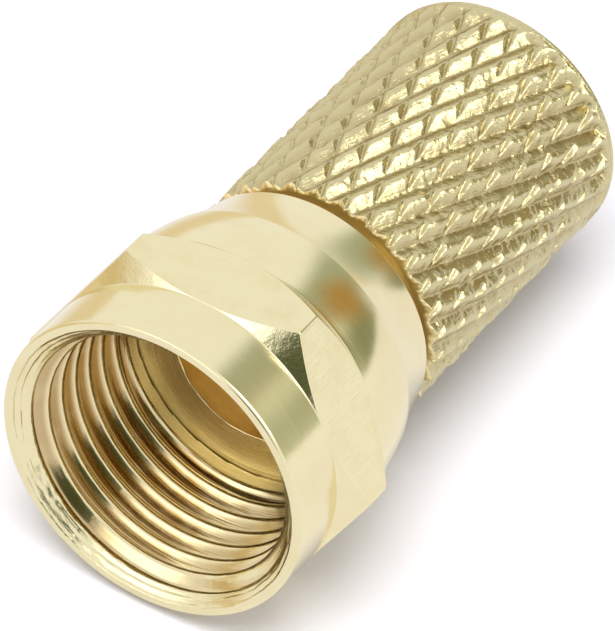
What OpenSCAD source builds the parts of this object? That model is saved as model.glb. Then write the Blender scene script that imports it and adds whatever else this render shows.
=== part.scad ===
// Twist-on F connector: a hexagonal coupling nut that spins on a turned body.
// The body has a flared front flange, a plain neck and a diamond-knurled cable sleeve.
// The connector lies along Y. The reference plane, where the body's flange meets the
// socket, is at y = 0. The nut opens toward -Y and the cable enters from +Y.

/* [Coupling nut] */
// Wall between the coupling thread's crests and the flats of the hexagon
nut_wall = 1.1; // [0.9:0.05:2.2]
// Length of the nut from its mouth to its rear edge
nut_len = 9.4; // [7.8:0.1:11.4]
// Depth by which the round collar is turned below the flats
collar_cut = 0.02; // [0.01:0.01:0.1]
// Length of the collar
collar_len = 2.2; // [1.6:0.1:2.8]
// Angle of the shoulder in front of the corners, measured from the mating face
shoulder_angle = 36; // [25:1:45]
// Length of the hexagon's six corner edges
corner_len = 0.98; // [0.6:0.02:1.6]
// Angle of the cone behind the corners, measured from the mating face
cone_angle = 46; // [35:1:55]
// Depth by which the barrel behind the cone is turned below the flats
barrel_cut = 0.08; // [0.02:0.01:0.3]
// Depth of the barrel below the flats where its rear taper begins
waist_cut = 0.35; // [0.2:0.01:0.6]
// Height by which the barrel bulges between the cone and the taper
barrel_bulge = 0.13; // [0:0.01:0.15]
// Length of the tapered rear end
taper_len = 2.2; // [1.6:0.1:2.8]
// Wall of the nut at its rear edge
tail_wall = 0.8; // [0.6:0.02:1]
// Edge break on the outer edges
edge_break = 0.1; // [0.05:0.01:0.14]

/* [Socket] */
// Bore of the coupling thread at its crests (3/8 in, 32 turns to the inch)
thread_bore_d = 8.8; // [8.4:0.02:11]
// Width of the rim around the countersunk mouth
mouth_rim = 0.31; // [0.2:0.01:0.5]
// Depth of the socket from the mouth to the reference plane
socket_depth = 6.1; // [5:0.1:7.4]
// Depth of the relief behind the thread, which holds the flange
relief_cut = 0.22; // [0.15:0.01:0.4]
// Distance by which the relief reaches in front of the reference plane
relief_lead = 0.2; // [0.1:0.05:0.5]

/* [Body] */
// Thickness of the flared flange that holds the nut
flange_t = 0.85; // [0.6:0.05:1.2]
// Bore of the neck, which passes the cable's insulation
neck_bore_d = 5.8; // [4.8:0.05:6.4]
// Wall of the neck on which the nut spins
neck_wall = 0.72; // [0.5:0.02:1]
// Bore of the sleeve, which takes the cable's jacket
cable_bore_d = 7; // [6.6:0.1:8.6]
// Wall of the sleeve under the crests of its knurl
sleeve_wall = 1.06; // [0.7:0.02:1.5]
// Length of the sleeve
sleeve_len = 11.39; // [9:0.01:14]
// Length of the sleeve's solid front end, before its bore opens
front_end = 1.19; // [0.6:0.01:2]
// Angle of the drilled cone at the bottom of the cable bore
drill_angle = 31; // [20:1:45]
// Length of the plain rim that closes the knurl at the rear
rim_len = 0.22; // [0.16:0.02:0.6]
// Depth by which the rim is turned below the knurl's crests
rim_cut = 0.02; // [0.01:0.01:0.1]
// Lead-in chamfer at the rear of the cable bore
lead_in = 0.25; // [0.1:0.05:0.4]

/* [Fits] */
// Radial clearance between the neck and the nut
neck_clearance = 0.08; // [0.02:0.01:0.1]
// Radial clearance between the flange and the nut's relief
flange_clearance = 0.12; // [0.06:0.01:0.2]
// Gap between the flange and the nut's inner shoulder
flange_gap = 0.1; // [0.05:0.01:0.3]
// Gap between the nut's rear edge and the sleeve
sleeve_gap = 0.45; // [0.2:0.05:0.6]

/* [Knurl] */
// Spacing of the grooves around the sleeve
knurl_pitch = 0.955; // [0.8:0.005:1.3]
// Angle of the grooves to the axis
knurl_angle = 20.5; // [14:0.5:30]
// Turn of the knurl around the sleeve
knurl_turn = 4.2; // [0:0.1:12]
// Depth of the long grooves of the first helix
long_groove = 0.27; // [0.2:0.01:0.34]
// Height of the crossing helix's groove bottoms over those of the long grooves
cross_rise = 0.04; // [0.02:0.01:0.12]
// Share of a groove's pitch that the crossing groove takes
cross_share = 0.44; // [0.3:0.02:0.9]
// Share of a groove's pitch that stays as land on a ridge
land_share = 0.08; // [0.04:0.01:0.2]

/* [Hidden] */
$fn = 96;
brass_gold = [0.91, 0.84, 0.6];
// Distance by which a cut runs past the face that it opens.
over = 0.5;

// Places along Y, from the mouth of the nut to the rear of the sleeve.
mouth_y = -socket_depth;
shoulder_y = flange_t + flange_gap;
tail_y = mouth_y + nut_len;
sleeve_y = tail_y + sleeve_gap;
rear_y = sleeve_y + sleeve_len;
rim_y = rear_y - rim_len;

// Radii of the body, from its bores outward.
neck_bore_r = neck_bore_d / 2;
neck_r = neck_bore_r + neck_wall;
cable_bore_r = cable_bore_d / 2;
sleeve_r = cable_bore_r + sleeve_wall;
rim_r = sleeve_r - rim_cut;
cable_bore_y = sleeve_y + front_end;
drill_cone = (cable_bore_r - neck_bore_r) * tan(drill_angle);

// Radii of the nut: the socket follows the thread, the spin bore the neck.
thread_r = thread_bore_d / 2;
relief_r = thread_r + relief_cut;
flange_r = relief_r - flange_clearance;
spin_bore_r = neck_r + neck_clearance;
flat_r = thread_r + nut_wall;
mouth_r = flat_r - mouth_rim;

// The nut's outline. The corners of the hexagon show between two cones.
corner_r = flat_r / cos(30);
collar_r = flat_r - collar_cut;
barrel_r = flat_r - barrel_cut;
waist_r = flat_r - waist_cut;
tail_r = spin_bore_r + tail_wall;
collar_end = mouth_y + collar_len;
corner_front = collar_end + (corner_r - collar_r) * tan(shoulder_angle);
corner_rear = corner_front + corner_len;
cone_end = corner_rear + (corner_r - barrel_r) * tan(cone_angle);
taper_y = tail_y - edge_break - taper_len;

// A revolved outline of [radius, y] points, with its axis along +Y.
module turned(outline) {
    rotate([-90, 0, 0]) rotate_extrude() polygon(outline);
}

// A barrel outline between two points, bulged by the given height.
function bulged(from, to, bulge, steps = 8) = [
    for (i = [0 : steps])
        let (t = i / steps)
        from + t * (to - from) + [4 * bulge * t * (1 - t), 0]
];

module nut_blank() {
    intersection() {
        turned(concat(
            [
                [0, mouth_y],
                [collar_r - edge_break, mouth_y],
                [collar_r, mouth_y + edge_break],
                [collar_r, collar_end],
                [corner_r + over, corner_front + over * tan(shoulder_angle)],
                [corner_r + over, corner_rear - over * tan(cone_angle)]
            ],
            bulged([barrel_r, cone_end], [waist_r, taper_y], barrel_bulge),
            [
                [tail_r, tail_y - edge_break],
                [tail_r - edge_break, tail_y],
                [0, tail_y]
            ]
        ));
        translate([0, mouth_y - over, 0])
            rotate([-90, 0, 0])
            cylinder(r = corner_r, h = nut_len + 2 * over, $fn = 6);
    }
}

module coupling_nut() {
    color(brass_gold)
    difference() {
        nut_blank();
        turned([
            [0, mouth_y - over],
            [mouth_r + over, mouth_y - over],
            [thread_r, mouth_y + mouth_r - thread_r],
            [thread_r, -relief_lead],
            [relief_r, -relief_lead],
            [relief_r, shoulder_y],
            [spin_bore_r, shoulder_y],
            [spin_bore_r, tail_y - edge_break],
            [spin_bore_r + edge_break + over, tail_y + over],
            [0, tail_y + over]
        ]);
    }
}

// The knurl. Two crossing sets of V grooves leave truncated ridges between them.
// A place [u, v] on it counts the long grooves in u and the crossing ones in v:
// u is whole along the bottom of a long groove, v along that of a crossing groove.
// Both grow to the right around the sleeve, and v - u, the row, grows along it.
groove_count = round(2 * PI * sleeve_r / knurl_pitch);
row_height = PI * sleeve_r / groove_count / tan(knurl_angle);
// The bar starts this many rows in front of the sleeve and ends past its rear.
front_rows = 1.26;
last_row = floor(sleeve_len / row_height + front_rows) + 2;
bar_start = sleeve_y - front_rows * row_height;

// Half widths of a long groove and of a crossing one, as shares of their pitch.
long_half = (1 - land_share) / 2;
cross_half = cross_share / 2;
cross_groove = long_groove - cross_rise;
// Distance from a long groove's bottom at which it is as deep as the crossing one.
meet_half = long_half * cross_rise / long_groove;

// Each diamond owns its first corner, two points along the bottom of its crossing
// groove, and the four corners of its land, as [u, v, depth].
diamond = [
    [0, 0, long_groove],
    [meet_half, 0, cross_groove],
    [1 - meet_half, 0, cross_groove],
    [long_half, cross_half, 0],
    [1 - long_half, cross_half, 0],
    [1 - long_half, 1 - cross_half, 0],
    [long_half, 1 - cross_half, 0]
];

function knurl_point(u, v, depth) =
    let (
        turn = 180 / groove_count * (u + v) + knurl_turn,
        r = sleeve_r - depth
    )
    [r * sin(turn), bar_start + row_height * (v - u), r * cos(turn)];

// Index of point k of the diamond whose first corner is at place [u, v].
function point_at(u, v, k) =
    let (around = (u % groove_count + groove_count) % groove_count)
    ((v - u) * groove_count + around) * len(diamond) + k;

function diamond_faces(u, v) =
    let (
        own = [for (k = [0 : 6]) point_at(u, v, k)],
        over_v = [for (k = [0 : 2]) point_at(u, v + 1, k)],
        over_u = point_at(u + 1, v, 0),
        across = point_at(u + 1, v + 1, 0)
    ) [
        [own[0], over_v[0], over_v[1], own[6], own[3], own[1]],
        [over_u, own[2], own[4], own[5], over_v[2], across],
        [own[1], own[3], own[4], own[2]],
        [own[6], over_v[1], over_v[2], own[5]],
        [own[3], own[6], own[5], own[4]]
    ];

module knurled_bar() {
    around = [0 : groove_count - 1];
    points = [for (row = [0 : last_row], u = around, p = diamond)
        knurl_point(u + p[0], u + row + p[1], p[2])];
    front_rim = [for (u = around) each [
        point_at(u, u + 1, 0), point_at(u, u + 1, 1),
        point_at(u, u + 1, 2), point_at(u + 1, u + 1, 0)
    ]];
    rear_rim = [for (u = around) each [
        point_at(u, u + last_row - 1, 0), point_at(u, u + last_row, 0),
        point_at(u, u + last_row, 1), point_at(u, u + last_row, 2)
    ]];
    rim = len(front_rim);
    front_centre = len(points);
    rear_centre = front_centre + 1;
    polyhedron(
        points = concat(
            points,
            [[0, bar_start, 0], [0, bar_start + last_row * row_height, 0]]
        ),
        faces = concat(
            [for (row = [1 : last_row - 1], u = around) each diamond_faces(u, u + row)],
            [for (k = [0 : rim - 1])
                [front_centre, front_rim[k], front_rim[(k + 1) % rim]]],
            [for (k = [0 : rim - 1])
                [rear_centre, rear_rim[(k + 1) % rim], rear_rim[k]]]
        )
    );
}

module knurled_sleeve() {
    intersection() {
        knurled_bar();
        turned([
            [0, sleeve_y],
            [sleeve_r + over, sleeve_y],
            [sleeve_r + over, rim_y],
            [0, rim_y]
        ]);
    }
}

module connector_body() {
    color(brass_gold)
    difference() {
        union() {
            turned([
                [0, 0],
                [flange_r - edge_break, 0],
                [flange_r, edge_break],
                [flange_r, flange_t],
                [neck_r, flange_t],
                [neck_r, sleeve_y + over],
                [0, sleeve_y + over]
            ]);
            knurled_sleeve();
            turned([
                [0, rim_y],
                [rim_r, rim_y],
                [rim_r, rear_y - edge_break],
                [rim_r - edge_break, rear_y],
                [0, rear_y]
            ]);
        }
        turned([
            [0, -over],
            [neck_bore_r, -over],
            [neck_bore_r, cable_bore_y - drill_cone],
            [cable_bore_r, cable_bore_y],
            [cable_bore_r, rear_y - lead_in],
            [cable_bore_r + lead_in + over, rear_y + over],
            [0, rear_y + over]
        ]);
    }
}

coupling_nut();
connector_body();
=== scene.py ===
"""A gold-plated twist-on F connector on a white table.

The frame's two nodes are replaced by two finer pieces. The nut gets its real coupling thread,
rounded edges and drawn flats. The body gets its diamond knurl with worn, dented crests, and the
coarse thread by which the sleeve grips a cable's jacket. Lengths are in millimetres until a mesh
is made, and y runs along the connector from the reference plane, as in the frame.
"""

import math

import bpy
import numpy as np
from mathutils import Matrix, Vector


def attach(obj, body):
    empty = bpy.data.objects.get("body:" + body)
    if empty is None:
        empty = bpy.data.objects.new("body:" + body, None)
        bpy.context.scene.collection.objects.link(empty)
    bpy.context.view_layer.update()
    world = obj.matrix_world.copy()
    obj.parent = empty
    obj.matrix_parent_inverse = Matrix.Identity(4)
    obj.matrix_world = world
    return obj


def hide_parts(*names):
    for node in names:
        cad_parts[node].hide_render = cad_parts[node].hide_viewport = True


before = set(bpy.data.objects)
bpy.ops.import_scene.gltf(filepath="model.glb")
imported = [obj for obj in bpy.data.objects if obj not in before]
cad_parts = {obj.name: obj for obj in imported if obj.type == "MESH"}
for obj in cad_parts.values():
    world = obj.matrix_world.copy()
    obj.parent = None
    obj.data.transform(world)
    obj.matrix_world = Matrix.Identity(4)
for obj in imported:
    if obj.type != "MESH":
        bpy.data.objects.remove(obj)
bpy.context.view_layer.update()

MM = 0.001

# ---------------------------------------------------------------- sizes, in millimetres

# The coupling nut's outside.
MOUTH_Y, MOUTH_R = -6.1, 5.19
COLLAR_R, COLLAR_END = 5.48, -3.9
SIDES = 6
SIDE_TURN, HALF_FLAT = 360 / SIDES, math.radians(180 / SIDES)
FLAT_R = 5.5
CORNER_R, CORNER_LEN, CORNER_FILLET = FLAT_R / math.cos(HALF_FLAT), 0.98, 0.08
SHOULDER_ANGLE, CONE_ANGLE = math.radians(36), math.radians(46)
CORNER_FRONT = COLLAR_END + (CORNER_R - COLLAR_R) * math.tan(SHOULDER_ANGLE)
CORNER_REAR = CORNER_FRONT + CORNER_LEN
# The barrel's radius falls to the waist's with a power of the way, in rows that begin a little
# past the cone's end. The taper behind it is hollow.
BARREL_R, WAIST_R, BARREL_SWEEP, BARREL_START = 5.46, 5.15, 2.2, 0.14
CONE_END = CORNER_REAR + (CORNER_R - BARREL_R) * math.tan(CONE_ANGLE)
TAPER_Y, TAIL_Y, TAIL_R, TAPER_HOLLOW = 1.0, 3.3, 4.5, 0.42
BARREL_ROWS, TAPER_ROWS = 20, 13
# Size of the chamfers on the tail's outer and inner edge.
EDGE = 0.1

# Its columns of points, in degrees from a flat's middle: evenly over the flat, then closer
# together past the corner that follows.
FLAT_REACH, FLAT_COLUMNS = 28.8, 37
CORNER_COLUMNS = (29.3, 29.6, 29.8, 30.0, 30.2, 30.4, 30.7)

# Its bores behind the thread.
SPIN_BORE_R, SHOULDER_Y = 3.7, 0.95
RELIEF_R, RELIEF_Y, RELIEF_STEP = 4.62, -0.03, 0.14

# A grain is smooth noise: its seed, its cell in degrees round the axis, and cells a millimetre.

# The coupling thread, 32 turns to the inch: a mix of a V groove and a wave. A groove's middle
# passes GROOVE_START at turn 0. The crests' edges have burrs.
CREST_R, ROOT_R = 4.4, 4.8
PITCH, ROWS_A_PITCH = 25.4 / 32, 24
GROOVE_START, GROOVE_HALF, GROOVE_FLOOR, V_SHARE = -2.83, 0.31, 0.03, 0.35
THREAD_FADE = (-0.95, -0.45)
CREST_BURR, CREST_BURR_HEIGHT, CREST_BURR_PLACE = (3, 2, 7), 0.008, (0.15, 0.3)
# Past the last full groove the tool leaves fine rings, up to the relief.
RUNOUT_PITCH, RUNOUT_HEIGHT, RUNOUT_START = 0.085, 0.03, (-0.85, -0.6)

# The mouth is countersunk at 45 degrees, and passes into the thread softly.
MOUTH_BLEND = 0.22
# Uneven rings that the tool left in it: place behind the mouth, width, depth and seed. Each
# ring's depth and place sway round the mouth.
MOUTH_RINGS = ((0.10, 0.022, 0.045, 31), (0.19, 0.018, -0.025, 32), (0.27, 0.025, 0.05, 33),
               (0.36, 0.018, -0.025, 34))
RING_CELL, RING_DEPTH_MEAN, RING_SHIFT = 10, 0.6, 0.07
MOUTH_GRAIN, MOUTH_GRAIN_HEIGHT = (35, 1.5, 9), 0.014
# Its burrs lie round the turn BURR_SIDE, where the cosine from there is in BURR_REACH or above.
MOUTH_BURR, MOUTH_BURR_HEIGHT = (36, 1.6, 14), 0.045
BURR_SIDE, BURR_REACH = -135, (0.7, 0.95)
# How far off the cone a face of the socket may lie and still have the mouth's material.
CONE_SLACK = 0.05

# The body.
FLANGE_R, FLANGE_T = 4.5, 0.85
NECK_BORE_R, NECK_R = 2.9, 3.62
SLEEVE_Y, REAR_Y, RIM_Y = 3.75, 15.14, 14.92
SLEEVE_R, RIM_R = 4.56, 4.54
# The front face ends a margin inside the grooves' bottoms and slopes back to the knurl's edge.
# The rim begins with a small step and ends with a rounded edge.
FRONT_BREAK, FRONT_MARGIN, RIM_STEP = 0.06, 0.1, 0.012
RIM_EDGE, RIM_EDGE_MIDDLE = 0.05, 0.015
CABLE_BORE_R, CABLE_BORE_Y = 3.5, 4.94
DRILL_DEPTH = (CABLE_BORE_R - NECK_BORE_R) * math.tan(math.radians(31))
LEAD_IN, LEAD_EDGE = 0.25, 0.01
CABLE_PITCH, CABLE_GROOVE, CABLE_GROOVE_HALF = 1.0, 0.14, 0.3
CABLE_FADE = (CABLE_BORE_Y + 0.3, CABLE_BORE_Y + 1.0)
CABLE_ROWS = 96
# The neck bore's front edge is nicked, within this reach of the bore and of the flange's face.
NICKS, NICK_DEPTH, NICK_MEAN, NICK_REACH = (21, 6, 40), 0.05, 0.6, (0.06, 0.1)

# The knurl. Place u is whole along a long groove's bottom, and v along a crossing groove's.
GROOVE_COUNT, GROOVE_DEPTH = 30, 0.27
GROOVE_TURN = 360 / GROOVE_COUNT
ROW_HEIGHT = 1.277
BAR_START = SLEEVE_Y - 1.26 * ROW_HEIGHT
KNURL_TURN, KNURL_STEPS = 4.2, 16
# A bar's two flanks: where each meets the groove's bottom, and its width, as shares of a pitch.
BAR_RISE, BAR_FALL = (0.03, 0.42), (0.975, 0.455)
# The crests are pressed flat by this share of the depth, from this share of the height up.
CREST_PRESS, CREST_FROM = 0.09, 0.8
# A crossing groove's depth, as a share: least, growth, and where over the bar it grows.
CROSS_LEAST, CROSS_GROWTH, CROSS_PLACE = 0.62, 0.38, (0.3, 0.75)
CROSS_HALF, CROSS_SHIFT = 0.19, 0.01
# Each crossing differs by luck: a table of seed and size, and its pull on depth and width.
LUCK, LUCK_DEPTH, LUCK_WIDTH = (5, 60), (0.86, 0.28), 0.05
# Dents: two grains with their height and middle. They are strong in patches, most of all on
# the sides, away from the turn KNURL_TOP.
KNURL_DENTS = (((11, 3, 3.1), 0.055, 0.4), ((12, 1.5, 7.3), 0.04, 0.5))
DENT_PATCHES, PATCH_STEP = (13, 15, 1), (0.35, 0.6)
KNURL_TOP, SIDE_STEP = 12, (25, 60)
DENT_BASE, DENT_TOP, DENT_SIDES = 0.3, 0.5, 0.9
DENT_FRONT = 0.5
# How far below a groove's bottom a dent may go.
DENT_LIMIT = 0.02
# The grooves run out over this length at the rear, and lose this share of their depth.
GROOVE_END, GROOVE_LOST = 0.22, 0.94

# ---------------------------------------------------------------- small helpers


def smooth(low, high, x):
    """0 below low, 1 above high, and a smooth step between them."""
    t = np.clip((x - low) / (high - low), 0, 1)
    return t * t * (3 - 2 * t)


def noise_table(seed, size):
    return np.random.default_rng(seed).random((size, size))


def smooth_noise(table, x, y):
    """Smooth noise from 0 to 1 that repeats after the table's size, in x and in y."""
    size = table.shape[0]
    x0, y0 = np.floor(x).astype(int), np.floor(y).astype(int)
    fx, fy = x - x0, y - y0
    fx, fy = fx * fx * (3 - 2 * fx), fy * fy * (3 - 2 * fy)

    def at(i, j):
        return table[i % size, j % size]

    low = at(x0, y0) * (1 - fx) + at(x0 + 1, y0) * fx
    high = at(x0, y0 + 1) * (1 - fx) + at(x0 + 1, y0 + 1) * fx
    return low * (1 - fy) + high * fy


def grain_noise(grain, turn, y):
    """Smooth noise from 0 to 1 over a round wall, for a grain as described above."""
    seed, cell, cells_a_mm = grain
    return smooth_noise(noise_table(seed, round(360 / cell)), turn / cell, y * cells_a_mm)


def revolve(radius, turn, y):
    """Points at the given radii, angles in degrees from +Z toward +X, and places y."""
    turn = np.radians(turn)
    return np.stack(np.broadcast_arrays(radius * np.sin(turn), y, radius * np.cos(turn)), -1)


FILLET_STEPS, FILLET_LIMIT = 4, 0.45


def rounded(outline, radii):
    """The open outline with its inner corners rounded. Outline is (columns, corners, 2).

    A fillet takes up at most a limited share of the shorter side beside it. Also returns the
    first row of every corner.
    """
    points, counts = [outline[:, :1]], [1]
    t = np.linspace(0, 1, FILLET_STEPS + 1)[None, :, None]
    for k in range(1, outline.shape[1] - 1):
        here = outline[:, k]
        if not radii[k]:
            points.append(here[:, None])
            counts.append(1)
            continue
        before, after = outline[:, k - 1] - here, outline[:, k + 1] - here
        len_before = np.linalg.norm(before, axis=1)
        len_after = np.linalg.norm(after, axis=1)
        to_before = before / len_before[:, None]
        to_after = after / len_after[:, None]
        cosine = np.clip((to_before * to_after).sum(1), -1, 1)
        turn = math.pi - np.arccos(cosine)
        reach = np.minimum(radii[k] * np.tan(turn / 2),
                           FILLET_LIMIT * np.minimum(len_before, len_after))[:, None]
        start, end = here + to_before * reach, here + to_after * reach
        points.append((1 - t) ** 2 * start[:, None] + 2 * t * (1 - t) * here[:, None]
                      + t ** 2 * end[:, None])
        counts.append(FILLET_STEPS + 1)
    points.append(outline[:, -1:])
    counts.append(1)
    return np.concatenate(points, 1), np.cumsum([0] + counts)


class Outline:
    """Corners of an outline, each with its material slot and rounding."""

    def __init__(self, columns=1):
        self.columns, self.corners = columns, []

    def corner(self, radius, y, slot, rounding=0):
        self.corners.append((radius, y, slot, rounding))

    def rows(self):
        """The rounded outline's radii and places y, as (columns, rows), and each row's slot."""
        sides = [np.stack([np.broadcast_to(radius, self.columns),
                           np.broadcast_to(y, self.columns)], -1)
                 for radius, y, _, _ in self.corners]
        outline, starts = rounded(np.stack(sides, 1), [corner[3] for corner in self.corners])
        corner_of_row = np.searchsorted(starts, np.arange(outline.shape[1]), side="right") - 1
        slots = np.array([corner[2] for corner in self.corners])
        return outline[..., 0], outline[..., 1], slots[corner_of_row]


def unit_normals(points, faces):
    """Vertex normals weighted by area, so that large faces stay flat beside small fillets."""
    normals = np.zeros_like(points)
    for corners in faces:
        a, b, c = (points[corners[:, k]] for k in (0, 1, 2))
        area = np.cross(b - a, c - a)
        if corners.shape[1] == 4:
            area = area + np.cross(c - a, points[corners[:, 3]] - a)
        for k in range(corners.shape[1]):
            np.add.at(normals, corners[:, k], area)
    length = np.linalg.norm(normals, axis=1, keepdims=True)
    return normals / np.maximum(length, 1e-12)


def make_piece(name, points, faces, slots, materials):
    """A mesh object from triangle and quad arrays, with each array's own material slots."""
    mesh = bpy.data.meshes.new(name)
    corners = np.concatenate([f.ravel() for f in faces]).astype(np.int32)
    sizes = np.concatenate([np.full(len(f), f.shape[1]) for f in faces]).astype(np.int32)
    starts = np.concatenate([[0], np.cumsum(sizes)[:-1]]).astype(np.int32)
    mesh.vertices.add(len(points))
    mesh.vertices.foreach_set("co", (points * MM).astype(np.float32).ravel())
    mesh.loops.add(len(corners))
    mesh.loops.foreach_set("vertex_index", corners)
    mesh.polygons.add(len(sizes))
    mesh.polygons.foreach_set("loop_start", starts)
    mesh.polygons.foreach_set("loop_total", sizes)
    mesh.polygons.foreach_set("material_index", np.concatenate(slots).astype(np.int32))
    for material in materials:
        mesh.materials.append(material)
    mesh.update(calc_edges=True)
    mesh.validate()
    mesh.polygons.foreach_set("use_smooth", np.ones(len(mesh.polygons), bool))
    mesh.normals_split_custom_set_from_vertices(unit_normals(points, faces).tolist())
    piece = bpy.data.objects.new(name, mesh)
    bpy.context.scene.collection.objects.link(piece)
    return piece


def quads_between(first, second):
    """Quads between two equal rows of point numbers that each close on themselves."""
    return np.stack([first, np.roll(first, -1), np.roll(second, -1), second], 1)


def split_collapsed(quads):
    """The real quads, and the triangles left where one side of a quad has no length."""
    same = np.stack([quads[:, k] == quads[:, (k + 1) % 4] for k in range(4)], 1)
    merged = same.sum(1)
    triangles = [np.delete(quads[(merged == 1) & same[:, k]], (k + 1) % 4, 1) for k in range(4)]
    return quads[merged == 0], np.concatenate(triangles)


# ---------------------------------------------------------------- the coupling nut

# Its material slots.
TURNED, FLATS, SHOULDER, BORES, THREAD, MOUTH = range(6)


def nut_columns():
    """Angles of the nut's columns, closer together round the hexagon's six corners."""
    offsets = np.concatenate([np.linspace(-FLAT_REACH, FLAT_REACH, FLAT_COLUMNS), CORNER_COLUMNS])
    return np.sort(np.concatenate([offsets + SIDE_TURN * k for k in range(SIDES)]))


def hexagon_radius(turn):
    """Radius of the hexagon with slightly rounded corners at each angle."""
    from_flat = (turn + SIDE_TURN / 2) % SIDE_TURN - SIDE_TURN / 2
    plain = FLAT_R / np.cos(np.radians(from_flat))
    from_corner = np.radians(SIDE_TURN / 2 - np.abs(from_flat))
    # The fillet's centre lies on the line to the corner, and it ends where it meets the flat.
    centre = (FLAT_R - CORNER_FILLET) / math.cos(HALF_FLAT)
    inside = np.maximum(CORNER_FILLET ** 2 - (centre * np.sin(from_corner)) ** 2, 0)
    fillet = centre * np.cos(from_corner) + np.sqrt(inside)
    tangent = math.atan(CORNER_FILLET * math.sin(HALF_FLAT)
                        / (centre + CORNER_FILLET * math.cos(HALF_FLAT)))
    return np.where(from_corner < tangent, np.minimum(plain, fillet), plain)


def nut_outline(turn):
    """The nut's outline in every column, from the mouth's rim round to the relief.

    Each corner has the slot of the band that follows it.
    """
    hexagon = hexagon_radius(turn)
    outline = Outline(len(turn))
    corner = outline.corner
    corner(MOUTH_R, MOUTH_Y, TURNED)
    corner(COLLAR_R, MOUTH_Y, TURNED, rounding=0.14)
    corner(COLLAR_R, COLLAR_END, SHOULDER, rounding=0.05)
    corner(hexagon, COLLAR_END + (hexagon - COLLAR_R) * math.tan(SHOULDER_ANGLE), FLATS,
           rounding=0.07)
    corner(hexagon, CORNER_REAR + (CORNER_R - hexagon) * math.tan(CONE_ANGLE), TURNED,
           rounding=0.09)
    corner(BARREL_R, CONE_END, TURNED, rounding=0.5)
    for t in np.linspace(BARREL_START, 1, BARREL_ROWS)[:-1]:
        corner(BARREL_R + t ** BARREL_SWEEP * (WAIST_R - BARREL_R),
               CONE_END + t * (TAPER_Y - CONE_END), TURNED)
    corner(WAIST_R, TAPER_Y, TURNED, rounding=0.03)
    for t in np.linspace(0, 1, TAPER_ROWS)[1:-1]:
        drop = (1 + TAPER_HOLLOW) * t - TAPER_HOLLOW * t * t
        corner(WAIST_R + drop * (TAIL_R - WAIST_R),
               TAPER_Y + t * (TAIL_Y - EDGE - TAPER_Y), TURNED)
    corner(TAIL_R, TAIL_Y - EDGE, TURNED, rounding=0.06)
    corner(TAIL_R - EDGE, TAIL_Y, TURNED, rounding=0.06)
    corner(SPIN_BORE_R + EDGE, TAIL_Y, BORES, rounding=0.05)
    corner(SPIN_BORE_R, TAIL_Y - EDGE, BORES, rounding=0.05)
    corner(SPIN_BORE_R, SHOULDER_Y, BORES, rounding=0.04)
    corner(RELIEF_R, SHOULDER_Y, BORES, rounding=0.05)
    corner(RELIEF_R, RELIEF_Y, BORES, rounding=0.05)
    corner(RELIEF_R - RELIEF_STEP, RELIEF_Y, BORES)
    return outline.rows()


def from_groove(turn, y, start, pitch):
    """Distance along y from the nearest groove of a thread that passes start at turn 0."""
    groove = start + pitch * turn / 360
    return np.abs((y - groove + pitch / 2) % pitch - pitch / 2)


def thread_wall(turn, y):
    """Radius of the coupling thread and of the fine rings where it runs out."""
    off = from_groove(turn, y, GROOVE_START, PITCH)
    vee = np.clip((GROOVE_HALF - off) / (GROOVE_HALF - GROOVE_FLOOR), 0, 1)
    wave = 0.5 + 0.5 * np.cos(np.pi * np.clip(off / (PITCH / 2), 0, 1))
    fade = 1 - smooth(*THREAD_FADE, y)
    wall = CREST_R + (ROOT_R - CREST_R) * (V_SHARE * vee + (1 - V_SHARE) * wave) * fade
    burr = grain_noise(CREST_BURR, turn, y) - 0.5
    wall = wall + CREST_BURR_HEIGHT * burr * smooth(*CREST_BURR_PLACE, off) * fade
    rings = np.abs((y / RUNOUT_PITCH) % 1 - 0.5) * 2
    return wall + RUNOUT_HEIGHT * rings * smooth(*RUNOUT_START, y)


def mouth_wall(turn, y):
    """Radius of the countersunk mouth, with its rings, grain and burrs."""
    deep = y - MOUTH_Y
    wall = MOUTH_R - deep
    for place, width, depth, seed in MOUTH_RINGS:
        sway = smooth_noise(noise_table(seed, 360 // RING_CELL), turn / RING_CELL, 0.5) - 0.5
        across = (deep - place - RING_SHIFT * sway) / width
        wall = wall + depth * (RING_DEPTH_MEAN + sway) * np.exp(-across ** 2)
    wall = wall + MOUTH_GRAIN_HEIGHT * (grain_noise(MOUTH_GRAIN, turn, deep) - 0.5)
    burred = smooth(*BURR_REACH, np.cos(np.radians(turn - BURR_SIDE)))
    return wall + MOUTH_BURR_HEIGHT * burred * (grain_noise(MOUTH_BURR, turn, deep) - 0.5)


def socket_radius(turn, y):
    """Radius of the socket's wall: the mouth or the thread, whichever is wider, softly joined."""
    thread = thread_wall(turn, y)
    gap = mouth_wall(turn, y) - thread
    blend = np.clip(0.5 + gap / (2 * MOUTH_BLEND), 0, 1)
    return thread + gap * blend + MOUTH_BLEND * blend * (1 - blend)


def thread_rows(turn):
    """Rows of points that follow the helix, cut off a little before the socket's two ends.

    Returns the points, and for every row and column the point's number, or -1 past an end,
    and its y.
    """
    margin = 0.004
    # A few rows more than the socket holds, so that the last one lies past its end all round.
    last = int((RELIEF_Y - MOUTH_Y) / PITCH * ROWS_A_PITCH) + 4
    k = np.arange(-ROWS_A_PITCH - 1, last + 1)[:, None]
    y = MOUTH_Y + (k + ROWS_A_PITCH * turn / 360) * PITCH / ROWS_A_PITCH
    within = (y > MOUTH_Y + margin) & (y < RELIEF_Y - margin)
    numbers = np.full(y.shape, -1)
    numbers[within] = np.arange(within.sum())
    return revolve(socket_radius(turn, y), turn, y)[within], numbers, y


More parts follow.
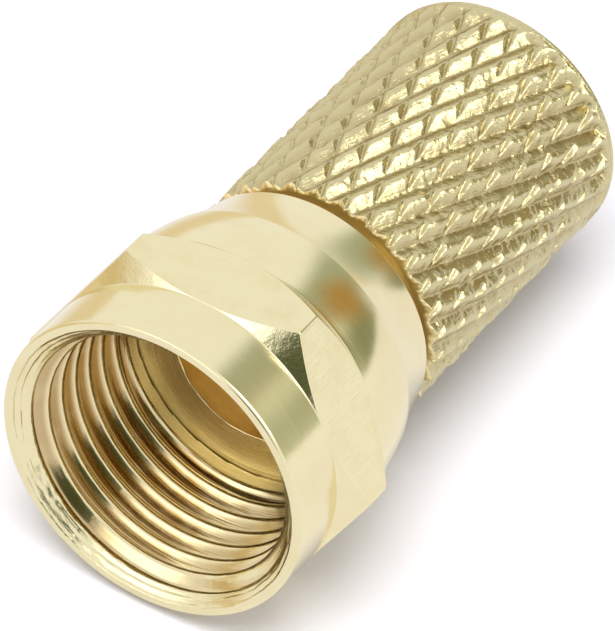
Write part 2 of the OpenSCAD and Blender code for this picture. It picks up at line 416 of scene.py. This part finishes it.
def nut_mesh():
    """The nut's points, faces and material slots."""
    turn = nut_columns()
    radius, y, row_slots = nut_outline(turn)
    outer = revolve(radius.T, turn, y.T)
    rows = np.arange(outer[..., 0].size).reshape(outer.shape[:2])
    bands = np.concatenate([quads_between(*pair) for pair in zip(rows[:-1], rows[1:])])

    # Past the socket's ends, a helix row's points become those of the outline's end rows.
    inner, helix, y = thread_rows(turn)
    end_rows = np.where(y < (MOUTH_Y + RELIEF_Y) / 2, rows[0], rows[-1])
    helix = np.where(helix >= 0, helix + rows.size, end_rows)
    # After one turn each row meets the row that lies a pitch further on.
    seam = np.append(helix[ROWS_A_PITCH:, 0], np.full(ROWS_A_PITCH, rows[-1, 0]))
    helix = np.column_stack([helix, seam])
    quads = np.stack([helix[:-1, :-1], helix[1:, :-1], helix[1:, 1:], helix[:-1, 1:]], -1)
    quads, triangles = split_collapsed(quads.reshape(-1, 4))

    points = np.concatenate([outer.reshape(-1, 3), inner])
    slots = [np.repeat(row_slots[:-1], len(turn))]
    for corners in (quads, triangles):
        centre = points[corners].mean(1)
        from_axis = np.hypot(centre[:, 0], centre[:, 2])
        on_cone = from_axis + centre[:, 1] < MOUTH_R + MOUTH_Y + CONE_SLACK
        slots.append(np.where(on_cone, MOUTH, THREAD))
    return points, [bands, quads, triangles], slots


# ---------------------------------------------------------------- the body

# Its material slots.
BODY_TURNED, BODY_KNURL, BODY_BORES, BODY_FRONT, BODY_FLANGE = range(5)


def knurl_depth(u, v):
    """Depth of the knurl below its crests at places u and v, in millimetres."""
    bar, row = np.floor(u), np.floor(v + 0.5)
    across, along = u - bar, v - row
    size = LUCK[1]
    luck = noise_table(*LUCK)[bar.astype(int) % size, row.astype(int) % size]
    rise = np.clip((across - BAR_RISE[0]) / BAR_RISE[1], 0, 1)
    fall = np.clip((BAR_FALL[0] - across) / BAR_FALL[1], 0, 1)
    ridge = np.minimum(rise, fall)
    ridge = ridge - CREST_PRESS * smooth(CREST_FROM, 1, ridge)
    share = CROSS_LEAST + CROSS_GROWTH * smooth(*CROSS_PLACE, across)
    share = share * (LUCK_DEPTH[0] + LUCK_DEPTH[1] * luck)
    half = CROSS_HALF + LUCK_WIDTH * (luck - 0.5)
    wedge = np.clip(1 - np.abs(along + CROSS_SHIFT) / half, 0, 1)
    return np.clip(np.maximum(GROOVE_DEPTH * (1 - ridge), GROOVE_DEPTH * share * wedge),
                   0, GROOVE_DEPTH)


def knurl_wear(turn, y):
    """Small dents and smears over the knurl, in millimetres. The front edge stays clean."""
    patches = smooth(*PATCH_STEP, grain_noise(DENT_PATCHES, turn, y))
    from_top = np.abs((turn - KNURL_TOP + 180) % 360 - 180)
    crumpled = DENT_BASE + (DENT_TOP + DENT_SIDES * smooth(*SIDE_STEP, from_top)) * patches
    dents = sum(height * (grain_noise(grain, turn, y) - middle)
                for grain, height, middle in KNURL_DENTS)
    return crumpled * smooth(SLEEVE_Y, SLEEVE_Y + DENT_FRONT, y) * dents


def knurl_grid():
    """Points, triangles, point numbers and angles of the knurl, on a grid along its helices."""
    step = ROW_HEIGHT / KNURL_STEPS
    front_y = SLEEVE_Y + FRONT_BREAK
    # The grid's first and last row move to the two ends. A row that lies past an end by this
    # share of a step or less still counts.
    slack = 0.4
    first = math.ceil((front_y - BAR_START) / step - slack)
    last = math.floor((RIM_Y - BAR_START) / step + slack)
    k = np.arange(first, last + 1)[:, None]
    i = np.arange(GROOVE_COUNT * KNURL_STEPS)[None, :]
    turn = KNURL_TURN + GROOVE_TURN / 2 * (2 * i / KNURL_STEPS + k / KNURL_STEPS)
    y = BAR_START + step * k * np.ones_like(i)
    y[0], y[-1] = front_y, RIM_Y
    across = (turn - KNURL_TURN) / GROOVE_TURN
    along = (y - BAR_START) / (2 * ROW_HEIGHT)
    depth = knurl_depth(across - along, across + along)
    depth = depth * (1 - GROOVE_LOST * smooth(RIM_Y - GROOVE_END, RIM_Y, y))
    depth = np.clip(depth + np.maximum(knurl_wear(turn, y), -depth), 0, GROOVE_DEPTH + DENT_LIMIT)
    points = revolve(SLEEVE_R - depth, turn, y)
    numbers = np.arange(turn.size).reshape(turn.shape)
    # The high row's point i lies half a column after the low row's point i.
    low, high = numbers[:-1], numbers[1:]
    next_low, next_high = np.roll(low, -1, 1), np.roll(high, -1, 1)
    up = np.stack([low, next_low, high], -1).reshape(-1, 3)
    down = np.stack([next_low, next_high, high], -1).reshape(-1, 3)
    return points.reshape(-1, 3), np.concatenate([up, down]), numbers, turn


def cable_bore_radius(turn, y):
    """The cable bore with its lead-in and the coarse thread that grips the jacket."""
    off = from_groove(turn, y, 0, CABLE_PITCH)
    depth = np.clip(1 - off / CABLE_GROOVE_HALF, 0, 1)
    flare = max(0.0, y - (REAR_Y - LEAD_IN))
    return np.maximum(CABLE_BORE_R + CABLE_GROOVE * depth * smooth(*CABLE_FADE, y),
                      CABLE_BORE_R + flare)


class RingMesh:
    """A mesh that grows ring by ring from a grid of triangles, with a slot for every face."""

    def __init__(self, points, triangles, slot):
        self.points, self.count = [points], len(points)
        self.faces, self.slots = {3: [], 4: []}, {3: [], 4: []}
        self.add_faces(triangles, slot)

    def add_faces(self, faces, slot):
        self.faces[faces.shape[1]].append(faces)
        self.slots[faces.shape[1]].append(np.full(len(faces), slot))

    def add_ring(self, radius, turn, y):
        """Point numbers of a new ring."""
        self.points.append(revolve(radius, turn, y))
        self.count += len(turn)
        return np.arange(self.count - len(turn), self.count)

    def add_band(self, ring, radius, turn, y, slot):
        """Point numbers of a new ring, which a band of quads joins to the one before."""
        new = self.add_ring(radius, turn, y)
        self.add_faces(quads_between(ring, new), slot)
        return new

    def arrays(self):
        """All points, and the triangles and the quads with their slots."""
        return (np.concatenate(self.points), [np.concatenate(self.faces[k]) for k in (3, 4)],
                [np.concatenate(self.slots[k]) for k in (3, 4)])


def add_rim(mesh, ring, turn):
    """The plain rim, from the knurl's rear edge to the flat rear face. Returns its last ring."""
    for radius, y, slot in (
            (RIM_R - RIM_STEP, RIM_Y + RIM_STEP, BODY_KNURL),
            (RIM_R, RIM_Y + RIM_EDGE, BODY_KNURL),
            (RIM_R, REAR_Y - RIM_EDGE, BODY_KNURL),
            (RIM_R - RIM_EDGE_MIDDLE, REAR_Y - RIM_EDGE_MIDDLE, BODY_TURNED),
            (RIM_R - RIM_EDGE, REAR_Y, BODY_TURNED)):
        ring = mesh.add_band(ring, radius, turn, y, slot)
    return ring


def by_threes(ring):
    """A ring's points in threes, and for each three the next one's first point."""
    threes = ring.reshape(-1, 3)
    return threes, np.roll(threes[:, 0], -1)


def add_rear_face(mesh, ring, turn):
    """The flat rear face, where three of the rim's points join each one of the bore's."""
    inner = mesh.add_ring(CABLE_BORE_R + LEAD_IN + LEAD_EDGE, turn, REAR_Y)
    threes, after = by_threes(ring)
    mesh.add_faces(np.concatenate([
        np.stack([threes[:, 0], threes[:, 1], inner], 1),
        np.stack([threes[:, 1], threes[:, 2], inner], 1),
        np.stack([threes[:, 2], after, inner], 1),
        np.stack([after, np.roll(inner, -1), inner], 1)]), BODY_TURNED)
    return inner


def add_cable_bore(mesh, ring, turn):
    """The cable bore, from the lead-in down to the drilled cone."""
    places = np.linspace(REAR_Y - LEAD_IN, CABLE_BORE_Y, CABLE_ROWS)
    for y in np.append(REAR_Y - LEAD_EDGE, places):
        ring = mesh.add_band(ring, cable_bore_radius(turn, y), turn, y, BODY_BORES)
    return ring


def add_core(mesh, ring, turn):
    """The drilled cone, the neck's bore, the flange, and the neck back to the sleeve's front.

    Each corner has the slot of the band that leads to it.
    """
    outline = Outline()
    corner = outline.corner
    corner(CABLE_BORE_R, CABLE_BORE_Y, BODY_BORES)
    corner(NECK_BORE_R, CABLE_BORE_Y - DRILL_DEPTH, BODY_BORES, rounding=0.1)
    corner(NECK_BORE_R, 0, BODY_BORES, rounding=0.05)
    corner(FLANGE_R, 0, BODY_FLANGE, rounding=0.06)
    corner(FLANGE_R, FLANGE_T, BODY_BORES, rounding=0.05)
    corner(NECK_R, FLANGE_T, BODY_BORES, rounding=0.03)
    corner(NECK_R, SLEEVE_Y, BODY_FRONT, rounding=0.03)
    corner(SLEEVE_R - GROOVE_DEPTH - FRONT_MARGIN, SLEEVE_Y, BODY_FRONT)
    radii, places, slots = outline.rows()
    for radius, y, slot in list(zip(radii[0], places[0], slots))[1:]:
        if radius < NECK_BORE_R + NICK_REACH[0] and y < NICK_REACH[1]:
            radius = radius + NICK_DEPTH * (grain_noise(NICKS, turn, y) - NICK_MEAN)
        ring = mesh.add_band(ring, radius, turn, y, slot)
    return ring


def add_front_face(mesh, ring, knurl_front):
    """The face from the last ring to the knurl's toothed front edge, three points to each one."""
    threes, after = by_threes(knurl_front)
    following = np.roll(ring, -1)
    mesh.add_faces(np.concatenate([
        np.stack([threes[:, 0], ring, threes[:, 1]], 1),
        np.stack([threes[:, 1], ring, threes[:, 2]], 1),
        np.stack([threes[:, 2], ring, following], 1),
        np.stack([threes[:, 2], following, after], 1)]), BODY_FRONT)


def body_mesh():
    """The body's points, faces and material slots."""
    points, triangles, numbers, turn = knurl_grid()
    mesh = RingMesh(points, triangles, BODY_KNURL)
    ring = add_rim(mesh, numbers[-1], turn[-1])
    coarse_turn = turn[-1, ::3]
    ring = add_rear_face(mesh, ring, coarse_turn)
    ring = add_cable_bore(mesh, ring, coarse_turn)
    ring = add_core(mesh, ring, coarse_turn)
    # The knurl's columns twist, so its front edge is rolled round to begin where the ring does.
    column_turn = 360 / numbers.shape[1]
    shift = round((coarse_turn[0] - turn[0, 0]) / column_turn)
    add_front_face(mesh, ring, np.roll(numbers[0], -shift))
    return mesh.arrays()


# ---------------------------------------------------------------- materials

GOLD = (0.87, 0.785, 0.49)
# Deeper, more orange copies of the gold for the bores and the thread: painted shade of the inside.
SHADED_BORE_GOLD = (0.86, 0.69, 0.36)
SHADED_THREAD_GOLD = (0.86, 0.745, 0.45)
FRONT_GOLD = (0.92, 0.77, 0.42)
# A brighter copy of the gold for the flange: painted light.
LIT_FLANGE_GOLD = (1.0, 0.85, 0.48)
# The knurl's gold is a darker copy, painted shade, and the brown at its groove bottoms is painted
# shade too.
SHADED_KNURL_GOLD, KNURL_GROOVE_SHADE = (0.66, 0.585, 0.325), (0.44, 0.34, 0.15)
TARNISH_TINT = (0.9, 0.83, 0.72)
# The painted shade in the thread's grooves, a brown that grows between two radii. It is strongest
# round one turn, where it also paints a dark reflection, uneven, and weaker over a stretch near the
# mouth.
GROOVE_SHADE, SHADE_SIDE = (0.36, 0.205, 0.05), -118
SHADE_RADII, SHADE_FRONT = (CREST_R + 0.01, CREST_R + 0.20), (MOUTH_Y + 0.6, MOUTH_Y + 2.4)
SHADE_SPREAD, SHADE_UNEVEN, SHADE_LEAST, SHADE_AT_FRONT = (0.1, 0.95), 0.35, 0.3, 0.5

# A noise has its scale, detail and roughness. Most of its values lie in NOISE_MIDDLE.
NOISE_MIDDLE = (0.3, 0.7)
SHADE_NOISE, STAIN_NOISE, STAIN_RAMP = (0.7, 3.0, 0.5), (0.9, 4.0, 0.6), (0.45, 0.75)
# The fine lines and the broad waves under them, with their scales across and along the lines.
LINE_NOISE, WAVE_NOISE = (1.0, 3.0, 0.65), (1.0, 2.0, 0.5)
ROUND_LINES, ROUND_WAVES = (26.0, 1.2), (3.2, 0.8)
LONG_LINES, LONG_WAVES = (16.0, 0.7), (1.9, 0.35)
PLAIN_LINES, PLAIN_WAVES = (14.0, 3.0, 0.6), (2.5, 2.0, 0.5)
# Lines that run round the axis move on with the radius too, so that flat faces have them.
RADIUS_PULL = 1.37
GRAIN_NOISE, GRAIN_WEIGHT, WAVE_WEIGHT = (30.0, 2.0, 0.5), 0.25, 6
# The roughness varies between these shares of a material's own.
ROUGH_LEAST, ROUGH_MOST = 0.75, 1.3
KNURL_SCALES, KNURL_LINES = (13.0, 0.9), (1.0, 3.0, 0.7)
KNURL_GRAIN, KNURL_GRAIN_WEIGHT = (12.0, 3.0, 0.6), 0.25
KNURL_HOLLOWS, KNURL_HOLLOW_WEIGHT = (4.5, 2.0, 0.5), 1.6
KNURL_ROUGH, KNURL_LINE_HEIGHT = (0.14, 0.28), 0.018
# The knurl's painted shade at its groove bottoms reaches up to this depth below the crests, in
# patches.
KNURL_SHADE_TOP, KNURL_SHADE_STRENGTH = 0.07, 0.85
KNURL_PATCHES, KNURL_PATCH_RAMP = (1.6, 3.0, 0.6), (0.38, 0.64, 0.4, 1.0)


class Nodes:
    """A short way to add nodes to a material or world."""

    def __init__(self, tree):
        self.tree = tree

    def add(self, kind, inputs=None, **settings):
        node = self.tree.nodes.new(kind)
        for key, value in settings.items():
            setattr(node, key, value)
        for key, value in (inputs or {}).items():
            self.put(value, node.inputs[key])
        return node

    def put(self, value, socket):
        """Links another node's output to the socket, or sets its value."""
        if isinstance(value, bpy.types.NodeSocket):
            self.tree.links.new(value, socket)
        else:
            socket.default_value = value

    def math(self, operation, a, b=0.0):
        return self.add("ShaderNodeMath", {0: a, 1: b}, operation=operation).outputs[0]

    def total(self, *terms):
        """The sum of values, each times its weight."""
        parts = [self.math("MULTIPLY", value, weight) for value, weight in terms]
        result = parts[0]
        for part in parts[1:]:
            result = self.math("ADD", result, part)
        return result

    def ramp(self, value, low, high, to_low=0.0, to_high=1.0, smooth_step=False):
        node = self.add("ShaderNodeMapRange", {0: value, 1: low, 2: high, 3: to_low, 4: to_high})
        if smooth_step:
            node.interpolation_type = "SMOOTHSTEP"
        return node.outputs[0]

    def noise(self, vector, scale, detail, roughness):
        return self.add("ShaderNodeTexNoise", {
            "Vector": vector, "Scale": scale, "Detail": detail,
            "Roughness": roughness}).outputs["Fac"]

    def mix(self, factor, a, b):
        """Colour a, or colour b where the factor is 1. A plain colour has three numbers."""
        a, b = (c + (1.0,) if isinstance(c, tuple) else c for c in (a, b))
        return self.add("ShaderNodeMix", {0: factor, 6: a, 7: b}, data_type="RGBA").outputs[2]

    def vector(self, x, y, z):
        return self.add("ShaderNodeCombineXYZ", {0: x, 1: y, 2: z}).outputs[0]

    def split(self, vector):
        return self.add("ShaderNodeSeparateXYZ", {0: vector}).outputs

    def object_place(self):
        return self.add("ShaderNodeTexCoord").outputs["Object"]

    def seen(self):
        """1 for rays from the camera, from a mirror or through glass, and the rays' outputs."""
        rays = self.add("ShaderNodeLightPath").outputs
        mirrored = self.math("MAXIMUM", rays["Is Glossy Ray"], rays["Is Transmission Ray"])
        return self.math("MAXIMUM", rays["Is Camera Ray"], mirrored), rays


class TurnedPlace:
    """Sockets for the shaded point: x, y, z and radius in millimetres, and turn in radians."""

    def __init__(self, nodes):
        axes = nodes.split(nodes.object_place())
        self.x, self.y, self.z = (nodes.math("MULTIPLY", axes[k], 1 / MM) for k in range(3))
        self.point = nodes.vector(self.x, self.y, self.z)
        squares = nodes.math("ADD", nodes.math("MULTIPLY", self.x, self.x),
                             nodes.math("MULTIPLY", self.z, self.z))
        self.radius = nodes.math("SQRT", squares)
        self.turn = nodes.math("ARCTAN2", self.x, self.z)


def new_material(name):
    """A material, with a helper for its nodes and its shader."""
    material = bpy.data.materials.new(name)
    material.use_nodes = True
    return material, Nodes(material.node_tree), material.node_tree.nodes["Principled BSDF"]


def finish_metal(nodes, shader, roughness, height, line_height, colour):
    """Connects a metal's shader. The line height is in millimetres."""
    bump = nodes.add("ShaderNodeBump", {"Strength": 1.0, "Distance": line_height * MM,
                                        "Height": height})
    nodes.put(1.0, shader.inputs["Metallic"])
    nodes.put(roughness, shader.inputs["Roughness"])
    nodes.put(bump.outputs[0], shader.inputs["Normal"])
    nodes.put(colour, shader.inputs["Base Color"])


def round_vector(nodes, place, across, along):
    """A vector for noise whose lines run round the axis."""
    level = nodes.math("MULTIPLY", nodes.total((place.y, 1.0), (place.radius, RADIUS_PULL)), across)
    return nodes.vector(nodes.math("MULTIPLY", nodes.math("SINE", place.turn), along), level,
                        nodes.math("MULTIPLY", nodes.math("COSINE", place.turn), along))


def long_vector(nodes, place, across, along):
    """A vector for noise whose lines run along the axis."""
    return nodes.vector(nodes.math("MULTIPLY", place.x, across),
                        nodes.math("MULTIPLY", place.y, along),
                        nodes.math("MULTIPLY", place.z, across))


def tool_marks(nodes, place, lines):
    """Noise of the fine tool lines and of the broad waves: 'round', 'long' or 'plain'."""
    if lines == "round":
        return (nodes.noise(round_vector(nodes, place, *ROUND_LINES), *LINE_NOISE),
                nodes.noise(round_vector(nodes, place, *ROUND_WAVES), *WAVE_NOISE))
    if lines == "long":
        return (nodes.noise(long_vector(nodes, place, *LONG_LINES), *LINE_NOISE),
                nodes.noise(long_vector(nodes, place, *LONG_WAVES), *WAVE_NOISE))
    return nodes.noise(place.point, *PLAIN_LINES), nodes.noise(place.point, *PLAIN_WAVES)


def thread_shade(nodes, place):
    """Painted shade as a brown on the plating: toward the thread's roots, strongest round one side
    as a painted dark reflection, uneven, and less near the mouth.
    """
    side = nodes.math("COSINE", nodes.math("SUBTRACT", place.turn, math.radians(SHADE_SIDE)))
    uneven = nodes.ramp(nodes.noise(place.point, *SHADE_NOISE), *NOISE_MIDDLE,
                        -SHADE_UNEVEN, SHADE_UNEVEN)
    patch = nodes.ramp(nodes.math("ADD", side, uneven), *SHADE_SPREAD, SHADE_LEAST, 1.0,
                       smooth_step=True)
    inward = nodes.ramp(place.y, *SHADE_FRONT, SHADE_AT_FRONT, 1.0)
    root = nodes.ramp(place.radius, *SHADE_RADII, smooth_step=True)
    return nodes.math("MULTIPLY", root, nodes.math("MULTIPLY", patch, inward))


def gold_material(name, roughness, lines, line_height, tarnish=0.3, colour=GOLD, blotch=0.5,
                  painted_shade=False):
    """Plated brass with tool lines. Blotch is the strength of the broad waves. The thread's
    material also gets painted shade in its grooves.
    """
    material, nodes, shader = new_material(name)
    place = TurnedPlace(nodes)
    fine, broad = tool_marks(nodes, place, lines)
    rough = nodes.ramp(fine, *NOISE_MIDDLE, roughness * ROUGH_LEAST, roughness * ROUGH_MOST)
    grain = nodes.noise(place.point, *GRAIN_NOISE)
    height = nodes.total((fine, 1.0), (broad, blotch * WAVE_WEIGHT), (grain, GRAIN_WEIGHT))
    stain = nodes.ramp(nodes.noise(place.point, *STAIN_NOISE), *STAIN_RAMP, 0.0, tarnish)
    dark = tuple(c * t for c, t in zip(colour, TARNISH_TINT))
    surface = nodes.mix(stain, colour, dark)
    if painted_shade:
        # Painted shade: brown toward the thread's roots, and a painted dark reflection round one
        # side.
        surface = nodes.mix(thread_shade(nodes, place), surface, GROOVE_SHADE)
    finish_metal(nodes, shader, rough, height, line_height, surface)
    return material


def knurl_material():
    """The knurl: fine scratches that follow the long grooves, and painted shade at their bottoms.
    """
    material, nodes, shader = new_material("knurl")
    place = TurnedPlace(nodes)
    # Place across the long grooves, so that lines of one value run along them.
    across = nodes.math("SUBTRACT", nodes.math("MULTIPLY", place.turn, GROOVE_COUNT / math.tau),
                        nodes.math("MULTIPLY", place.y, 0.5 / ROW_HEIGHT))
    lines = nodes.vector(nodes.math("MULTIPLY", across, KNURL_SCALES[0]),
                         nodes.math("MULTIPLY", place.y, KNURL_SCALES[1]), 0.0)
    scratches = nodes.noise(lines, *KNURL_LINES)
    grain = nodes.noise(place.point, *KNURL_GRAIN)
    hollows = nodes.noise(place.point, *KNURL_HOLLOWS)
    rough = nodes.ramp(grain, *NOISE_MIDDLE, *KNURL_ROUGH)
    height = nodes.total((scratches, 1.0), (grain, KNURL_GRAIN_WEIGHT),
                         (hollows, KNURL_HOLLOW_WEIGHT))
    # Painted shade: brown toward the groove bottoms, in patches.
    deep = nodes.ramp(place.radius, SLEEVE_R - GROOVE_DEPTH, SLEEVE_R - KNURL_SHADE_TOP, 1.0, 0.0)
    patch = nodes.ramp(nodes.noise(place.point, *KNURL_PATCHES), *KNURL_PATCH_RAMP)
    painted_shade = nodes.math("MULTIPLY", nodes.math("MULTIPLY", deep, patch), KNURL_SHADE_STRENGTH)
    surface = nodes.mix(painted_shade, SHADED_KNURL_GOLD, KNURL_GROOVE_SHADE)
    finish_metal(nodes, shader, rough, height, KNURL_LINE_HEIGHT, surface)
    return material


# ---------------------------------------------------------------- floor, world and camera

WHITE = (1.0, 1.0, 1.0)
# The lamp's strength, width and heading, the tent's light on the table, and the table's glow.
LAMP_ENERGY, LAMP_ANGLE, LAMP_HEADING = 2.9, 40, (10, 70)
SOFT_LIGHT, TABLE_GLOW = 0.36, 0.12

# The table: how it slopes to meet the connector, a point of it, and its size in metres.
REST_TILT = math.radians(3.27)
REST_POINT = Vector((0, -1.406, -5.5)) * MM
TABLE_HALF, TABLE_STEPS = 1.5, 6
# Its paper's two whites, its colour as metal shows it, darker as a painted reflection, and the
# painted reflection of a warm wall that metal shows left of it, which begins and is full at these
# distances in metres.
PAPER_WHITES = (0.80, 0.785, 0.83), (0.83, 0.815, 0.86)
PAPER_NOISE, PAPER_ROUGH, PAPER_SHINE = (400.0, 3.0, 0.5), 0.6, 0.2
TABLE_DIMMED_REFLECTION, WARM_REFLECTION = (0.65, 0.64, 0.67), (0.50, 0.39, 0.20)
WARM_REFLECTION_STRENGTH, WARM_REFLECTION_START, WARM_REFLECTION_FULL, WARM_REFLECTION_SLANT = 0.85, 0.012, 0.035, 0.25

# The tent and the soft panels in it: azimuth, elevation, half width, half height and slant in
# degrees, how soft the edge is, and the colour. Later panels lie over earlier ones.
TENT_WHITE = (0.98, 0.98, 1.0, 1.0)
PANEL_POWER = 3.0
PANELS = (
    (-70, -4, 28, 13, 0, 0.5, (0.70, 0.56, 0.32)),
    (138, 15, 14, 24, 0, 0.4, (0.66, 0.68, 0.56)),
    (163, 29, 11, 32, 36, 0.45, (0.42, 0.46, 0.36)),
    (147, 10, 14, 12, 0, 0.5, (0.27, 0.29, 0.18)),
    (157, 24, 9, 12, 20, 0.6, (0.46, 0.28, 0.09)),
    (22, 10, 15, 19, 0, 0.35, (0.09, 0.11, 0.055)),
    (-18, 26, 22, 11, 0, 0.4, (2.2, 2.2, 2.2)),
    (115, 42, 12, 19, 0, 0.3, (4.4, 4.4, 4.4)),
)

# The camera: its heading and roll in degrees, what it looks at, its distance and its shift
# right and up in millimetres, and its lens and clipping.
CAMERA_HEADING, CAMERA_ROLL = (26.8549, 41.4925), 7.0675
CAMERA_TARGET, CAMERA_DISTANCE, CAMERA_SHIFT = (0, 2.9, 0), 250, (0.220, 0.0566)
CAMERA_LENS, CAMERA_CLIP = 446.84, (0.01, 10)


def heading(azimuth, elevation):
    """Unit vector: azimuth in degrees from the nut's side (-Y) toward +X, then up."""
    a, e = math.radians(azimuth), math.radians(elevation)
    return Vector((math.sin(a) * math.cos(e), -math.cos(a) * math.cos(e), math.sin(e)))


def axes_square_to(direction, slant):
    """The level and the upright axis square to a direction, turned about it by slant degrees."""
    level = Vector((-direction.y, direction.x, 0)).normalized()
    lean = Matrix.Rotation(math.radians(slant), 3, direction)
    return lean @ level, lean @ direction.cross(level)


def table_mesh():
    """The table's top, sloped along the connector so that both ends of it rest there."""
    along = Vector((0, math.cos(REST_TILT), math.sin(REST_TILT)))
    across = Vector((1, 0, 0))
    row = TABLE_STEPS + 1
    places = [TABLE_HALF * (2 * i / TABLE_STEPS - 1) for i in range(row)]
    points = [REST_POINT + across * x + along * y for x in places for y in places]
    corners = [i * row + j for i in range(TABLE_STEPS) for j in range(TABLE_STEPS)]
    faces = [(a, a + row, a + row + 1, a + 1) for a in corners]
    mesh = bpy.data.meshes.new("table_top")
    mesh.from_pydata(points, [], faces)
    return mesh


def table_material():
    """White paper that glows a little, with painted reflections where metal shows it: darker, and
    warm to the left.
    """
    material, nodes, shader = new_material("white_table")
    nodes.put(PAPER_ROUGH, shader.inputs["Roughness"])
    nodes.put(PAPER_SHINE, shader.inputs["Specular IOR Level"])
    place = nodes.object_place()
    seen, rays = nodes.seen()
    x, y, _ = nodes.split(place)
    # Painted reflection: a warm tint that only mirrored rays see, left of the connector.
    away = nodes.total((y, WARM_REFLECTION_SLANT), (x, -1.0))
    wall = nodes.ramp(away, WARM_REFLECTION_START, WARM_REFLECTION_FULL, 0.0, WARM_REFLECTION_STRENGTH, smooth_step=True)
    paper = nodes.mix(nodes.noise(place, *PAPER_NOISE), *PAPER_WHITES)
    # Painted reflection: the paper is darker where metal shows it.
    white = nodes.mix(rays["Is Glossy Ray"], paper, TABLE_DIMMED_REFLECTION)
    wall = nodes.math("MULTIPLY", wall, rays["Is Glossy Ray"])
    nodes.put(nodes.mix(wall, white, WARM_REFLECTION), shader.inputs["Base Color"])
    glow = nodes.add("ShaderNodeEmission", {"Strength": nodes.math("MULTIPLY", seen, TABLE_GLOW)})
    total = nodes.add("ShaderNodeAddShader", {0: shader.outputs[0], 1: glow.outputs[0]})
    output = material.node_tree.nodes["Material Output"]
    nodes.put(total.outputs[0], output.inputs["Surface"])
    return material


def make_floor():
    """The white table. The connector lies on it with the nut's flat and the sleeve's rear."""
    mesh = table_mesh()
    mesh.materials.append(table_material())
    floor = bpy.data.objects.new("table_top", mesh)
    bpy.context.scene.collection.objects.link(floor)


def make_lamp():
    """A broad soft lamp above the front of the connector, which metal doesn't show."""
    lamp = bpy.data.lights.new("soft_lamp", "SUN")
    lamp.energy, lamp.angle = LAMP_ENERGY, math.radians(LAMP_ANGLE)
    piece = bpy.data.objects.new("soft_lamp", lamp)
    piece.rotation_mode = "QUATERNION"
    piece.rotation_quaternion = heading(*LAMP_HEADING).to_track_quat("Z", "Y")
    piece.visible_glossy = False
    bpy.context.scene.collection.objects.link(piece)


def panel_cover(nodes, ray, azimuth, elevation, width, height, slant, softness):
    """How much of a panel, from 0 to 1, a ray meets."""
    centre = heading(azimuth, elevation)

    def along(axis):
        return nodes.add("ShaderNodeVectorMath", {0: ray, 1: tuple(axis)},
                         operation="DOT_PRODUCT").outputs["Value"]

    powers = []
    for axis, reach in zip(axes_square_to(centre, slant), (width, height)):
        share = nodes.math("DIVIDE", along(axis), math.sin(math.radians(reach)))
        powers.append(nodes.math("POWER", nodes.math("ABSOLUTE", share), PANEL_POWER))
    edge = nodes.math("POWER", nodes.math("ADD", *powers), 1 / PANEL_POWER)
    inside = nodes.ramp(edge, 1 - softness, 1 + softness, 1.0, 0.0, smooth_step=True)
    return nodes.math("MULTIPLY", inside, nodes.math("GREATER_THAN", along(centre), 0.0))


def make_world():
    """A white tent with a few soft darker and lighter panels in it, white for the camera."""
    world = bpy.data.worlds.new("studio")
    bpy.context.scene.world = world
    world.use_nodes = True
    nodes = Nodes(world.node_tree)
    ray = nodes.add("ShaderNodeTexCoord").outputs["Generated"]
    colour = nodes.add("ShaderNodeRGB").outputs[0]
    colour.default_value = TENT_WHITE
    for *form, tint in PANELS:
        colour = nodes.mix(panel_cover(nodes, ray, *form), colour, tint)
    seen, rays = nodes.seen()
    background = world.node_tree.nodes["Background"]
    nodes.put(nodes.mix(rays["Is Camera Ray"], colour, WHITE), background.inputs["Color"])
    nodes.put(nodes.ramp(seen, 0.0, 1.0, SOFT_LIGHT, 1.0), background.inputs["Strength"])


def photo_camera():
    """A long lens that looks into the nut from its upper right."""
    back = heading(*CAMERA_HEADING)
    right, up = axes_square_to(back, CAMERA_ROLL)
    place = (Vector(CAMERA_TARGET) + back * CAMERA_DISTANCE
             + right * CAMERA_SHIFT[0] + up * CAMERA_SHIFT[1]) * MM
    camera = bpy.data.objects.new("camera", bpy.data.cameras.new("camera"))
    camera.data.lens = CAMERA_LENS
    camera.data.clip_start, camera.data.clip_end = CAMERA_CLIP
    camera.matrix_world = Matrix((
        (right.x, up.x, back.x, place.x), (right.y, up.y, back.y, place.y),
        (right.z, up.z, back.z, place.z), (0, 0, 0, 1)))
    bpy.context.scene.collection.objects.link(camera)
    bpy.context.scene.camera = camera


# ---------------------------------------------------------------- the scene

photo_camera()
make_floor()
make_lamp()
make_world()
bpy.context.scene.view_settings.view_transform = "Standard"

turned = gold_material("turned_gold", 0.14, "round", 0.0013, blotch=0.2)
flats = gold_material("drawn_gold", 0.12, "long", 0.004, tarnish=0.5, blotch=0.2)
shoulder = gold_material("shoulder_gold", 0.12, "plain", 0.004, blotch=0.45)
front = gold_material("front_gold", 0.34, "round", 0.008, colour=FRONT_GOLD)
# The bores' deeper gold is painted shade.
bores = gold_material("bore_gold", 0.16, "round", 0.004, colour=SHADED_BORE_GOLD, blotch=0.3)
# The thread's gold is a deeper copy, and the brown in its grooves is painted shade.
thread = gold_material("thread_gold", 0.13, "round", 0.004, colour=SHADED_THREAD_GOLD, blotch=0.3,
                       painted_shade=True)
mouth = gold_material("mouth_gold", 0.13, "round", 0.012)
# The flange's brighter gold is painted light.
flange = gold_material("flange_gold", 0.3, "round", 0.008, colour=LIT_FLANGE_GOLD)
knurl = knurl_material()

nut = make_piece("coupling_nut_finished", *nut_mesh(),
                 [turned, flats, shoulder, bores, thread, mouth])
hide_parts("coupling_nut")
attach(nut, "nut")

body = make_piece("connector_body_finished", *body_mesh(),
                  [turned, knurl, bores, front, flange])
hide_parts("connector_body")
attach(body, "body")
